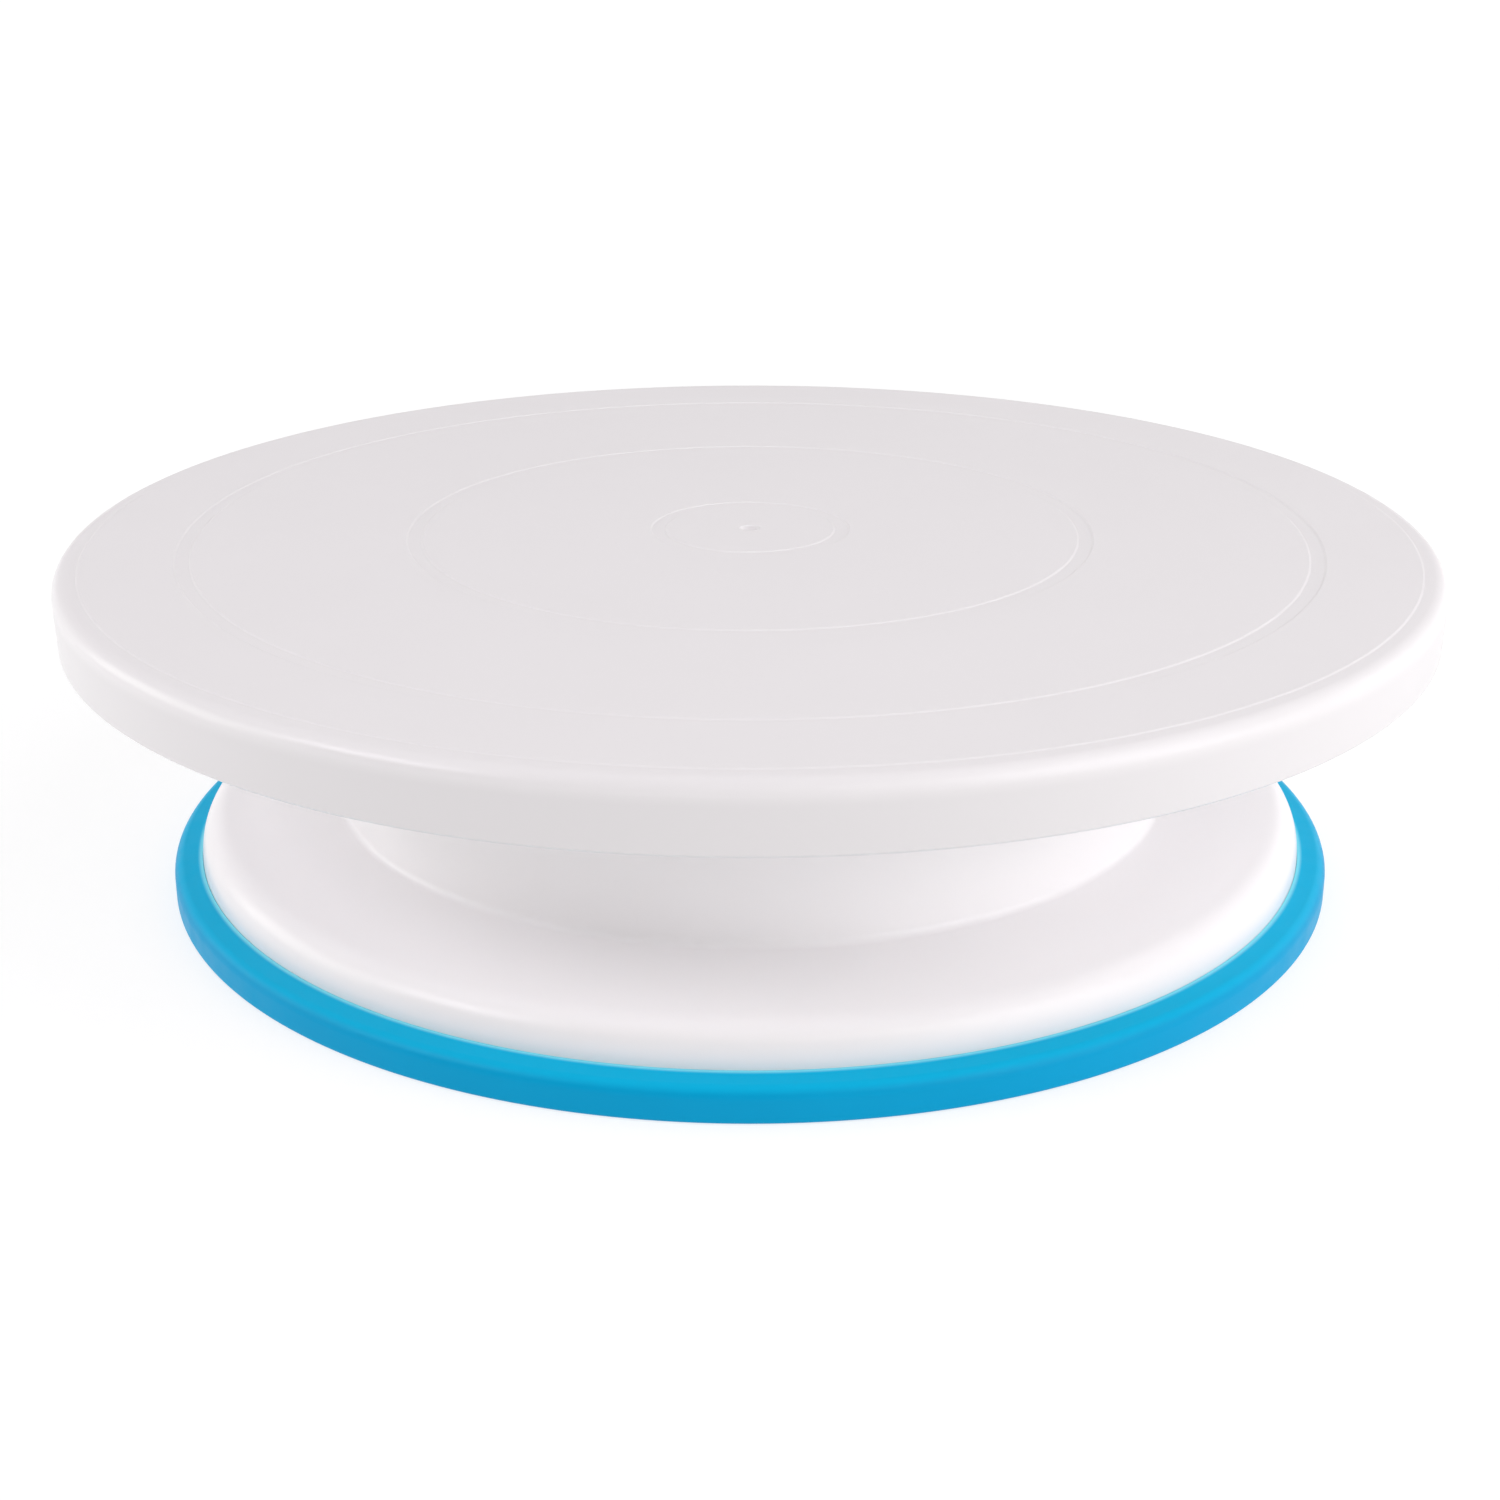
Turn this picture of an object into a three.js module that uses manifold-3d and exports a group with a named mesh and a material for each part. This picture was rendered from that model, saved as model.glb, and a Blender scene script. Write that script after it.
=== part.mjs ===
// A revolving cake-decorating stand, in millimetres, +Z up. The origin is on the table, under the spin axis.
//
// A moulded base with a wide round drum carries a thrust ball bearing. A disc with three centring grooves
// turns on it, guided by a spindle in a plastic bush and held down by one screw and washer. A rubber ring
// with a U-shaped section is stretched over the base's flange and is what stands on the table.
//
// Every round solid is a profile of [radius, height] points turned about Z. GAP parts touching pieces.

import * as THREE from "three";
import { mergeVertices } from "three/addons/utils/BufferGeometryUtils.js";
import Module from "manifold-3d";

const wasm = await Module();
wasm.setup();

// ---- driving dimensions ----

const GAP = 0.3; // between touching pieces
const WALL = 2.4; // moulded wall thickness
const RIB = 2; // rib thickness
const BURIED = 1; // how far a rib reaches into the wall it joins

const HEIGHT = 70.5; // table to the disc's top
const PLATE_R = 140;
const RIM_H = 13.4; // the disc's rim, top to lower edge
const GROOVE_RS = [19, 69, 115]; // centres of the three centring grooves
const GROOVE_W = 3.6;
const GROOVE_D = 0.35;
const SHROUD_H = 6; // skirt under the disc that covers the drum's top edge
const SHROUD_CLEARANCE = 3.2;
const PLATE_RIBS_OUTSIDE = 24;
const PLATE_RIBS_INSIDE = 8;
const PLATE_RIB_START = 3.5; // degrees
const PLATE_RIB_H = 5;

const FOOT_R = 122; // outside of the rubber ring
const FOOT_TOP_R = 116.1; // where the ring's upper lip meets the white base
const FOOT_TOP_Z = 7.4;
const DRUM_R = 86.4; // at the foot of the drum
const DRUM_DRAFT = 1.2; // how much narrower the drum is at its top
const DRUM_FOOT_Z = 16.2;
const DRUM_CLEARANCE = 1.8; // between the drum's top edge and the disc
const SHOULDER_R = 109.5; // where the base's gentle slope starts to round over
const SHOULDER_Z = 14.9;
const FLANGE_R = 119.3; // the base's lowest edge, which the rubber ring grips
const FLANGE_TOP_Z = 4.3;
const FLANGE_BOTTOM_Z = 2.3;
const DECK_RIBS = 8;
const DECK_RIB_START = 22.5; // degrees
const DECK_RIB_H = 5;

const BALL_R = 3;
const BALL_COUNT = 16;
const PITCH_R = 62; // circle through the ball centres
const RACE_HALF_W = 5.3;
const RACE_T = 1.4;
const RACE_GROOVE_D = 0.5;
const CAGE_HALF_W = 4.6;
const CAGE_T = 2;

const SPINDLE_R = 9;
const BUSH_WALL = 2;
const BUSH_FLANGE = 3;
const HUB_WALL = 3.2;
const HUB_BOTTOM_Z = 38;
const END_FLOAT = 0.4; // how far the spindle passes the hub's lower end
const WASHER_R = 14;
const WASHER_T = 1.2;
const SCREW_R = 2;
const SCREW_HEAD_R = 4.6;
const SCREW_HEAD_H = 2.8;
const SCREW_LENGTH = 18; // under the head

// ---- heights that follow from them, from the disc down ----

const PLATE_UNDER = HEIGHT - WALL;
const RIM_BOTTOM = HEIGHT - RIM_H;
const UPPER_RACE_TOP = PLATE_UNDER - GAP;
const UPPER_RACE_BOTTOM = UPPER_RACE_TOP - RACE_T;
const BALL_Z = UPPER_RACE_BOTTOM + RACE_GROOVE_D - GAP - BALL_R;
const LOWER_RACE_TOP = BALL_Z - BALL_R - GAP + RACE_GROOVE_D;
const LOWER_RACE_BOTTOM = LOWER_RACE_TOP - RACE_T;
const DECK_TOP = LOWER_RACE_BOTTOM - GAP;
const DECK_UNDER = DECK_TOP - WALL;
const DRUM_TOP_Z = PLATE_UNDER - DRUM_CLEARANCE;
const SPINDLE_END = HUB_BOTTOM_Z - END_FLOAT;
const WASHER_TOP = SPINDLE_END - GAP;
const WASHER_BOTTOM = WASHER_TOP - WASHER_T;
const HEAD_TOP = WASHER_BOTTOM - GAP;

// ---- radii that follow from them ----

const BUSH_IN_R = SPINDLE_R + GAP;
const BUSH_OUT_R = BUSH_IN_R + BUSH_WALL;
const HUB_IN_R = BUSH_OUT_R + GAP;
const HUB_OUT_R = HUB_IN_R + HUB_WALL;
const DRUM_TOP_R = DRUM_R - DRUM_DRAFT;
const SHROUD_IN_R = DRUM_TOP_R + SHROUD_CLEARANCE;
const SHROUD_OUT_R = SHROUD_IN_R + RIB;
const SEAT_IN_R = PITCH_R - RACE_HALF_W - GAP; // walls that hold the races
const SEAT_OUT_R = PITCH_R + RACE_HALF_W + GAP;
const SEAT_WALL = 1.4;
const SEAT_H = 1.5;
const SKIRT_R = FOOT_TOP_R - GAP; // the base's upright edge inside the ring's lip
const SKIRT_IN_R = SKIRT_R - WALL;

const LARGE_SIDES = 48;
const SMALL_SIDES = 24;

// ---- shapes ----

// A solid's points and triangles, with doubled vertices merged and flat triangles dropped.
function solidOf(geometry) {
  const bare = new THREE.BufferGeometry().setAttribute("position", geometry.getAttribute("position"));
  if (geometry.index) bare.setIndex(geometry.index);
  const merged = mergeVertices(bare, 1e-4);
  const corners = merged.index.array;
  const kept = [];
  for (let i = 0; i < corners.length; i += 3) {
    const [a, b, c] = corners.slice(i, i + 3);
    if (a !== b && b !== c && c !== a) kept.push(a, b, c);
  }
  const mesh = new wasm.Mesh({
    numProp: 3,
    vertProperties: new Float32Array(merged.getAttribute("position").array),
    triVerts: new Uint32Array(kept),
  });
  return new wasm.Manifold(mesh);
}

function geometryOf(solid) {
  const mesh = solid.getMesh();
  return new THREE.BufferGeometry()
    .setAttribute("position", new THREE.BufferAttribute(mesh.vertProperties, 3))
    .setIndex(new THREE.BufferAttribute(mesh.triVerts, 1));
}

// Turns a closed outline of [radius, height] points about Z. Points may lie on the axis.
function turned(outline, sides = LARGE_SIDES) {
  const twiceArea = outline.reduce((sum, [r, z], i) => {
    const [nextR, nextZ] = outline[(i + 1) % outline.length];
    return sum + r * nextZ - nextR * z;
  }, 0);
  const ordered = twiceArea > 0 ? [...outline] : [...outline].reverse();
  ordered.push(ordered[0]);
  const points = ordered.map(([r, z]) => new THREE.Vector2(r, z));
  return new THREE.LatheGeometry(points, sides).rotateX(Math.PI / 2);
}

// Points along a quarter or part circle, from one angle to another in degrees.
function arc(centreR, centreZ, radius, from, to, steps) {
  return Array.from({ length: steps + 1 }, (_, i) => {
    const angle = THREE.MathUtils.degToRad(from + ((to - from) * i) / steps);
    return [centreR + radius * Math.cos(angle), centreZ + radius * Math.sin(angle)];
  });
}

// Points along the smooth curve that rounds off one corner.
function curve(start, corner, end, steps) {
  return Array.from({ length: steps + 1 }, (_, i) => {
    const t = i / steps;
    const along = (axis) => start[axis] * (1 - t) ** 2 + 2 * corner[axis] * t * (1 - t) + end[axis] * t ** 2;
    return [along(0), along(1)];
  });
}

// An upright plate along a radius. The outline is in [radius, height], with the thickness centred on it.
function radialRib(outline, degrees, thickness = RIB) {
  const shape = new THREE.Shape(outline.map(([r, z]) => new THREE.Vector2(r, z)));
  return new THREE.ExtrudeGeometry(shape, { depth: thickness, bevelEnabled: false })
    .translate(0, 0, -thickness / 2)
    .rotateX(Math.PI / 2)
    .rotateZ(THREE.MathUtils.degToRad(degrees));
}

function withRibs(body, outline, count, startDegrees = 0) {
  let solid = body;
  for (let i = 0; i < count; i++) {
    solid = solid.add(solidOf(radialRib(outline, startDegrees + (360 * i) / count)));
  }
  return solid;
}

// ---- the turning disc ----

function centringGroove(radius) {
  const half = GROOVE_W / 2;
  return [
    [radius - half, HEIGHT],
    [radius, HEIGHT - GROOVE_D],
    [radius + half, HEIGHT],
  ];
}

// Two low walls with a race between them, hanging down for side -1 or standing up for side 1.
function raceSeat(z, side) {
  const tip = z + side * SEAT_H;
  return [
    [SEAT_OUT_R + SEAT_WALL, z],
    [SEAT_OUT_R + SEAT_WALL, tip],
    [SEAT_OUT_R, tip],
    [SEAT_OUT_R, z],
    [SEAT_IN_R, z],
    [SEAT_IN_R, tip],
    [SEAT_IN_R - SEAT_WALL, tip],
    [SEAT_IN_R - SEAT_WALL, z],
  ];
}

function turntablePlate() {
  const gateR = 2; // dimple left by the moulding gate, which also marks the centre
  const edgeR = 3.4; // round along the disc's upper edge
  const edgeStartR = 134.8; // the top starts to fall here
  const edgeFall = 0.25;
  const rimInR = PLATE_R - WALL;
  const pilotR = SCREW_R + GAP; // hole for the screw, a little deeper than the screw is long
  const pilotTop = HEAD_TOP + SCREW_LENGTH + 2;
  const seatInnerR = SEAT_IN_R - SEAT_WALL;
  const lowRibH = 1.2; // where a rib meets the race's seat
  const outline = [
    [0, HEIGHT - 0.3],
    [gateR / 2, HEIGHT - 0.5],
    [gateR, HEIGHT],
    ...GROOVE_RS.flatMap(centringGroove),
    [edgeStartR, HEIGHT],
    ...arc(PLATE_R - edgeR, HEIGHT - edgeFall - edgeR, edgeR, 90, 0, 3),
    [PLATE_R - 0.4, RIM_BOTTOM + 0.6],
    [PLATE_R - 1, RIM_BOTTOM],
    [rimInR + 0.3, RIM_BOTTOM],
    [rimInR - 0.2, PLATE_UNDER],
    [SHROUD_OUT_R + 0.2, PLATE_UNDER],
    [SHROUD_OUT_R, PLATE_UNDER - SHROUD_H],
    [SHROUD_IN_R, PLATE_UNDER - SHROUD_H],
    [SHROUD_IN_R, PLATE_UNDER],
    ...raceSeat(PLATE_UNDER, -1),
    [SPINDLE_R, PLATE_UNDER],
    [SPINDLE_R, SPINDLE_END],
    [pilotR, SPINDLE_END],
    [pilotR, pilotTop],
    [0, pilotTop],
  ];
  const outerRib = [
    [SHROUD_OUT_R - BURIED, PLATE_UNDER + BURIED],
    [SHROUD_OUT_R - BURIED, PLATE_UNDER - PLATE_RIB_H],
    [rimInR + BURIED, PLATE_UNDER - PLATE_RIB_H + 2],
    [rimInR + BURIED, PLATE_UNDER + BURIED],
  ];
  const innerRib = [
    [SPINDLE_R - BURIED, PLATE_UNDER + BURIED],
    [SPINDLE_R - BURIED, PLATE_UNDER - PLATE_RIB_H],
    [seatInnerR - 4, PLATE_UNDER - lowRibH],
    [seatInnerR + SEAT_WALL / 2, PLATE_UNDER - lowRibH],
    [seatInnerR + SEAT_WALL / 2, PLATE_UNDER + BURIED],
  ];
  const disc = withRibs(solidOf(turned(outline)), outerRib, PLATE_RIBS_OUTSIDE, PLATE_RIB_START);
  return geometryOf(withRibs(disc, innerRib, PLATE_RIBS_INSIDE, PLATE_RIB_START));
}

// ---- the base ----

function baseShell() {
  const shoulderTop = SHOULDER_Z - 0.3; // height of the corner that the shoulder rounds off
  const shoulderInZ = SHOULDER_Z - WALL;
  const slope = (DRUM_FOOT_Z - SHOULDER_Z) / (SHOULDER_R - DRUM_R);
  const filletR = 1.6;
  const drumInTopR = DRUM_TOP_R - WALL;
  const drumInFootR = DRUM_R - WALL;
  const outline = [
    [FLANGE_R, FLANGE_BOTTOM_Z],
    [FLANGE_R, FLANGE_TOP_Z],
    [SKIRT_R, FLANGE_TOP_Z],
    ...curve([SKIRT_R, FOOT_TOP_Z], [SKIRT_R, shoulderTop], [SHOULDER_R, SHOULDER_Z], 5),
    [DRUM_R + filletR, DRUM_FOOT_Z - slope * filletR],
    [DRUM_R, DRUM_FOOT_Z + filletR],
    [DRUM_TOP_R, DRUM_TOP_Z - 0.8],
    [DRUM_TOP_R - 0.8, DRUM_TOP_Z],
    [drumInTopR, DRUM_TOP_Z],
    [drumInTopR, DECK_TOP],
    ...raceSeat(DECK_TOP, 1),
    [HUB_IN_R, DECK_TOP],
    [HUB_IN_R, HUB_BOTTOM_Z],
    [HUB_OUT_R, HUB_BOTTOM_Z],
    [HUB_OUT_R + 0.5, DECK_UNDER],
    [drumInTopR, DECK_UNDER],
    [drumInFootR, DRUM_FOOT_Z - WALL],
    ...curve([SHOULDER_R - 0.5, shoulderInZ], [SKIRT_IN_R, shoulderInZ], [SKIRT_IN_R, FOOT_TOP_Z], 3),
    [SKIRT_IN_R, FLANGE_BOTTOM_Z],
  ];
  const deckRib = [
    [HUB_OUT_R - BURIED, DECK_UNDER + BURIED],
    [HUB_OUT_R - BURIED, HUB_BOTTOM_Z + 6],
    [drumInTopR + BURIED, DECK_UNDER - DECK_RIB_H],
    [drumInTopR + BURIED, DECK_UNDER + BURIED],
  ];
  return geometryOf(withRibs(solidOf(turned(outline)), deckRib, DECK_RIBS, DECK_RIB_START));
}

// Rubber ring with a U-shaped section that grips the base's flange and skirt.
function nonSlipRing() {
  const channelTop = FLANGE_TOP_Z + GAP;
  const channelBottom = FLANGE_BOTTOM_Z - GAP;
  const channelOutR = FLANGE_R + GAP;
  const innerLipR = SKIRT_IN_R - GAP;
  const innerLipTop = 4;
  const edgeR = 2.5;
  const edgeCentreZ = 4.4;
  const outline = [
    [FOOT_R - 0.8, 0],
    [FOOT_R, 0.8],
    ...arc(FOOT_R - edgeR, edgeCentreZ, edgeR, 0, 75, 3),
    [FOOT_TOP_R, FOOT_TOP_Z],
    [FOOT_TOP_R, channelTop],
    [channelOutR, channelTop],
    [channelOutR, channelBottom],
    [innerLipR, channelBottom],
    [innerLipR, innerLipTop],
    [innerLipR - 2, innerLipTop],
    [innerLipR - 2.4, 0],
  ];
  return turned(outline);
}

// ---- the ball bearing ----

// A flat steel ring with a shallow track. trackSide is 1 if the track is on top, -1 if it is underneath.
function race(bottom, trackSide) {
  const top = bottom + RACE_T;
  const trackHalf = Math.sqrt(BALL_R ** 2 - (BALL_R - RACE_GROOVE_D) ** 2);
  const tracked = trackSide > 0 ? top : bottom;
  const plain = trackSide > 0 ? bottom : top;
  return turned([
    [PITCH_R - RACE_HALF_W, plain],
    [PITCH_R - RACE_HALF_W, tracked],
    [PITCH_R - trackHalf, tracked],
    [PITCH_R - trackHalf / 2, tracked - trackSide * RACE_GROOVE_D],
    [PITCH_R + trackHalf / 2, tracked - trackSide * RACE_GROOVE_D],
    [PITCH_R + trackHalf, tracked],
    [PITCH_R + RACE_HALF_W, tracked],
    [PITCH_R + RACE_HALF_W, plain],
  ]);
}

function ballAngle(index) {
  return (2 * Math.PI * index) / BALL_COUNT;
}

function ballCage() {
  const bottom = BALL_Z - CAGE_T / 2;
  let cage = solidOf(
    turned([
      [PITCH_R - CAGE_HALF_W, bottom],
      [PITCH_R + CAGE_HALF_W, bottom],
      [PITCH_R + CAGE_HALF_W, bottom + CAGE_T],
      [PITCH_R - CAGE_HALF_W, bottom + CAGE_T],
    ]),
  );
  for (let i = 0; i < BALL_COUNT; i++) {
    const pocket = new THREE.CylinderGeometry(BALL_R + GAP, BALL_R + GAP, CAGE_T + 2, 12)
      .rotateX(Math.PI / 2)
      .translate(PITCH_R, 0, BALL_Z)
      .rotateZ(ballAngle(i));
    cage = cage.subtract(solidOf(pocket));
  }
  return geometryOf(cage);
}

// ---- the spindle's bush, washer and screw ----

function hubBush() {
  const flangeBottom = DECK_TOP + GAP;
  const flangeTop = flangeBottom + 1.5;
  const bushBottom = HUB_BOTTOM_Z + 0.6;
  return turned(
    [
      [BUSH_IN_R, flangeTop],
      [BUSH_OUT_R + BUSH_FLANGE, flangeTop],
      [BUSH_OUT_R + BUSH_FLANGE, flangeBottom],
      [BUSH_OUT_R, flangeBottom],
      [BUSH_OUT_R, bushBottom],
      [BUSH_IN_R, bushBottom],
    ],
    SMALL_SIDES,
  );
}

function retainingWasher() {
  const holeR = SCREW_R + GAP;
  return turned(
    [
      [holeR, WASHER_BOTTOM],
      [WASHER_R, WASHER_BOTTOM],
      [WASHER_R, WASHER_TOP],
      [holeR, WASHER_TOP],
    ],
    SMALL_SIDES,
  );
}

function retainingScrew() {
  const headBottom = HEAD_TOP - SCREW_HEAD_H;
  const tip = HEAD_TOP + SCREW_LENGTH;
  const blank = turned(
    [
      [0, headBottom],
      [SCREW_HEAD_R - 1.6, headBottom],
      [SCREW_HEAD_R - 0.4, headBottom + 0.8],
      [SCREW_HEAD_R, HEAD_TOP - 0.6],
      [SCREW_HEAD_R, HEAD_TOP],
      [SCREW_R, HEAD_TOP],
      [SCREW_R, tip - 2.5],
      [0, tip],
    ],
    SMALL_SIDES,
  );
  const slotLength = 4.6;
  const slotWidth = 1.1;
  const slotDepth = 1.5;
  let screw = solidOf(blank);
  for (const turn of [0, Math.PI / 2]) {
    const slot = new THREE.BoxGeometry(slotLength, slotWidth, 2 * slotDepth)
      .rotateZ(turn)
      .translate(0, 0, headBottom);
    screw = screw.subtract(solidOf(slot));
  }
  return geometryOf(screw);
}

// ---- materials and assembly ----

const whitePlastic = { color: 0xecebee, roughness: 0.38, metalness: 0 };
const blueRubber = { color: 0x0b9ad0, roughness: 0.5, metalness: 0 };
const steel = { color: 0xb8babd, roughness: 0.25, metalness: 1 };
const cagePlastic = { color: 0xd9d6c8, roughness: 0.5, metalness: 0 };
const bushPlastic = { color: 0xe6e2d6, roughness: 0.45, metalness: 0 };

function piece(name, geometry, look) {
  const mesh = new THREE.Mesh(geometry, new THREE.MeshStandardMaterial(look));
  mesh.name = name;
  return mesh;
}

function ball(index) {
  const mesh = piece(
    `ball_${String(index + 1).padStart(2, "0")}`,
    new THREE.SphereGeometry(BALL_R, 12, 6),
    steel,
  );
  mesh.position.set(PITCH_R * Math.cos(ballAngle(index)), PITCH_R * Math.sin(ballAngle(index)), BALL_Z);
  mesh.rotation.z = ballAngle(index);
  return mesh;
}

const stand = new THREE.Group();

const base = new THREE.Group();
base.add(
  piece("base_shell", baseShell(), whitePlastic),
  piece("non_slip_ring", nonSlipRing(), blueRubber),
  piece("lower_race", race(LOWER_RACE_BOTTOM, 1), steel),
  piece("hub_bush", hubBush(), bushPlastic),
);

const rollers = new THREE.Group();
rollers.add(piece("ball_cage", ballCage(), cagePlastic));
for (let i = 0; i < BALL_COUNT; i++) rollers.add(ball(i));

const turntable = new THREE.Group();
turntable.add(
  piece("turntable_plate", turntablePlate(), whitePlastic),
  piece("upper_race", race(UPPER_RACE_BOTTOM, -1), steel),
  piece("retaining_washer", retainingWasher(), steel),
  piece("retaining_screw", retainingScrew(), steel),
);

stand.add(base, rollers, turntable);

export default stand;
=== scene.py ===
"""A revolving cake stand: looks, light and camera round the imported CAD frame.

Outlines are in millimetres, as [radius, height] corners.
Every mesh is in metres, in the frame's own axes.
"""

import math

import bmesh
import bpy
from mathutils import Matrix, Vector


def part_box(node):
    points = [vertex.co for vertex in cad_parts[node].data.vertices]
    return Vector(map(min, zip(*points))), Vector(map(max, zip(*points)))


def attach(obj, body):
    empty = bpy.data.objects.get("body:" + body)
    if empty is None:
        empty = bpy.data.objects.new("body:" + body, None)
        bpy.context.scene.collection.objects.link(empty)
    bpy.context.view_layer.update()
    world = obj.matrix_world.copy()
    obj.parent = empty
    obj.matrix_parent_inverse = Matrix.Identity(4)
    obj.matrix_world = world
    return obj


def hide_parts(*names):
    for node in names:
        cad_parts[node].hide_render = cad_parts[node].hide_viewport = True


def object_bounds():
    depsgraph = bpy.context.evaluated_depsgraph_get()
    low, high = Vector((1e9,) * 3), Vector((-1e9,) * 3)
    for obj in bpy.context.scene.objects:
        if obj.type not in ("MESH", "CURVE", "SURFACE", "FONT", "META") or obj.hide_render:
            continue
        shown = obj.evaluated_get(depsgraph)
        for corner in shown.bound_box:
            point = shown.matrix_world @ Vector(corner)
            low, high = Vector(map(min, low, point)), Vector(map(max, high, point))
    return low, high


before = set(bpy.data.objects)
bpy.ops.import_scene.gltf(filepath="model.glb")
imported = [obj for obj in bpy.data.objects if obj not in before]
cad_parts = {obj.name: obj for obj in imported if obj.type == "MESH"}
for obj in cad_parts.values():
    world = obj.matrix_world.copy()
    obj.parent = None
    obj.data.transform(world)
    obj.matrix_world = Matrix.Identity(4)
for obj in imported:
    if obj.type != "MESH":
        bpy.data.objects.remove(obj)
CAD_LOW, CAD_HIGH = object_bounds()

MM = 0.001


def box_mm(node):
    """The lowest and highest corners of a CAD node, in millimetres."""
    low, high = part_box(node)
    return low / MM, high / MM


# ---- sizes, in millimetres: the overall ones come from the frame ----

plate_low, plate_high = box_mm("turntable_plate")
base_low, base_high = box_mm("base_shell")
foot_high = box_mm("non_slip_ring")[1]
upper_low, upper_high = box_mm("upper_race")
lower_low, lower_high = box_mm("lower_race")
cage_low, cage_high = box_mm("ball_cage")
bush_low, bush_high = box_mm("hub_bush")
washer_low, washer_high = box_mm("retaining_washer")
screw_low, screw_high = box_mm("retaining_screw")

GAP = 0.3
WALL = 2.4
RIB = 2.0
BURIED = 1.0

TOP = plate_high.z
PLATE_R = plate_high.x
PLATE_IN_R = PLATE_R - WALL
RIM_H = 13.4
RIM_BOTTOM = TOP - RIM_H
PLATE_UNDER = TOP - WALL
GATE_FLOOR_R = 1.3
GATE_MOUTH_R = 2.1
GATE_DEPTH = 1.4
GATE_FLOOR_RISE = 0.1
EDGE_START_R = 134.8
EDGE_STEP_W = 0.6
EDGE_STEP_D = 0.2
EDGE_R = 3.0
EDGE_FALL = 0.25
GROOVE_RS = (19, 69, 115)
GROOVE_W = 3.6
GROOVE_D = 0.22
GROOVE_SIDE_W = 0.6
PLATE_RIBS_OUTSIDE = 24
PLATE_RIBS_INSIDE = 8
PLATE_RIB_START_DEGREES = 3.5
SPINDLE_R = 9
SPINDLE_END = plate_low.z
PILOT_R = 2.3

FOOT_R = foot_high.x
FOOT_LIP_R = 116.1
FOOT_LIP_Z = foot_high.z
DRUM_R = 86.4
DRUM_DRAFT = 1.2
DRUM_TOP_R = DRUM_R - DRUM_DRAFT
DRUM_TOP_Z = base_high.z
DRUM_FOOT_Z = 16.2
SHOULDER_R = 109.5
SHOULDER_Z = 14.9
SHOULDER_CORNER_Z = SHOULDER_Z - 0.3
DECK_TOP = lower_low.z - GAP
DECK_UNDER = DECK_TOP - WALL
DECK_RIBS = 8
DECK_RIB_START_DEGREES = 22.5
FLANGE_R = base_high.x
FLANGE_BOTTOM = base_low.z
FLANGE_TOP = FLANGE_BOTTOM + 2
SHROUD_IN_R = DRUM_TOP_R + 3.2
SHROUD_OUT_R = SHROUD_IN_R + RIB
SHROUD_DROP = 6

PITCH_R = 62
RACE_OUT_R = upper_high.x
RACE_HALF_W = RACE_OUT_R - PITCH_R
SEAT_IN_R = PITCH_R - RACE_HALF_W - GAP
SEAT_OUT_R = PITCH_R + RACE_HALF_W + GAP
SEAT_WALL = 1.4
SEAT_H = 1.5
TRACK_DEPTH = 0.5
BALL_R = 3
BALL_Z = (cage_low.z + cage_high.z) / 2
BALL_COUNT = sum(node.startswith("ball_") and node != "ball_cage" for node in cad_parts)

BUSH_IN_R = SPINDLE_R + GAP
BUSH_OUT_R = BUSH_IN_R + 2
HUB_IN_R = BUSH_OUT_R + GAP
HUB_OUT_R = HUB_IN_R + 3.2
HUB_BOTTOM = SPINDLE_END + 0.4

# How many flat sides stand for a full turn, from the large pieces down to the screw.
LARGE_SIDES = 256
RING_SIDES = 192
SMALL_SIDES = 96
SCREW_SIDES = 64

# ---- camera, in metres, degrees and millimetres of lens; lights, in metres ----

CAMERA_BACK = 0.46803
CAMERA_UP = 0.20282
CAMERA_TILT = 21.231
LENS_MM = 56.0
LIGHT_DISTANCE = 1.4
LIGHT_TARGET_Z = 0.04


# ---- outlines ----


def rounded_corner(before, corner, after, radius, steps):
    """Points along the arc that rounds one corner of an outline."""
    to_before = before - corner
    to_after = after - corner
    half = to_before.angle(to_after) / 2
    if radius == 0 or half > math.radians(89.5):
        return [corner]
    reach = min(radius / math.tan(half), 0.49 * to_before.length, 0.49 * to_after.length)
    arc_r = reach * math.tan(half)
    middle = (to_before.normalized() + to_after.normalized()).normalized()
    centre = corner + middle * (arc_r / math.sin(half))
    start = corner + to_before.normalized() * reach - centre
    end = corner + to_after.normalized() * reach - centre
    first = math.atan2(start.y, start.x)
    turn = (math.atan2(end.y, end.x) - first + math.pi) % (2 * math.pi) - math.pi
    points = []
    for i in range(steps + 1):
        angle = first + turn * i / steps
        points.append(centre + arc_r * Vector((math.cos(angle), math.sin(angle))))
    return points


def rounded(corners, radius=0.3, steps=4):
    """A closed outline from corners (radius, height) or (radius, height, rounding).

    Corners on the axis stay sharp.
    """
    points = []
    for i, corner in enumerate(corners):
        here = Vector(corner[:2])
        before = Vector(corners[i - 1][:2])
        after = Vector(corners[(i + 1) % len(corners)][:2])
        own = corner[2] if len(corner) > 2 else radius
        points += rounded_corner(before, here, after, 0 if here.x == 0 else own, steps)
    return points


def curve_through(start, control, end, steps):
    """Points along a quadratic curve, each marked as needing no rounding of its own."""
    points = []
    for i in range(steps + 1):
        t = i / steps
        point = Vector(start) * (1 - t) ** 2 + Vector(control) * 2 * t * (1 - t) + Vector(end) * t ** 2
        points.append((point.x, point.y, 0))
    return points


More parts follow.
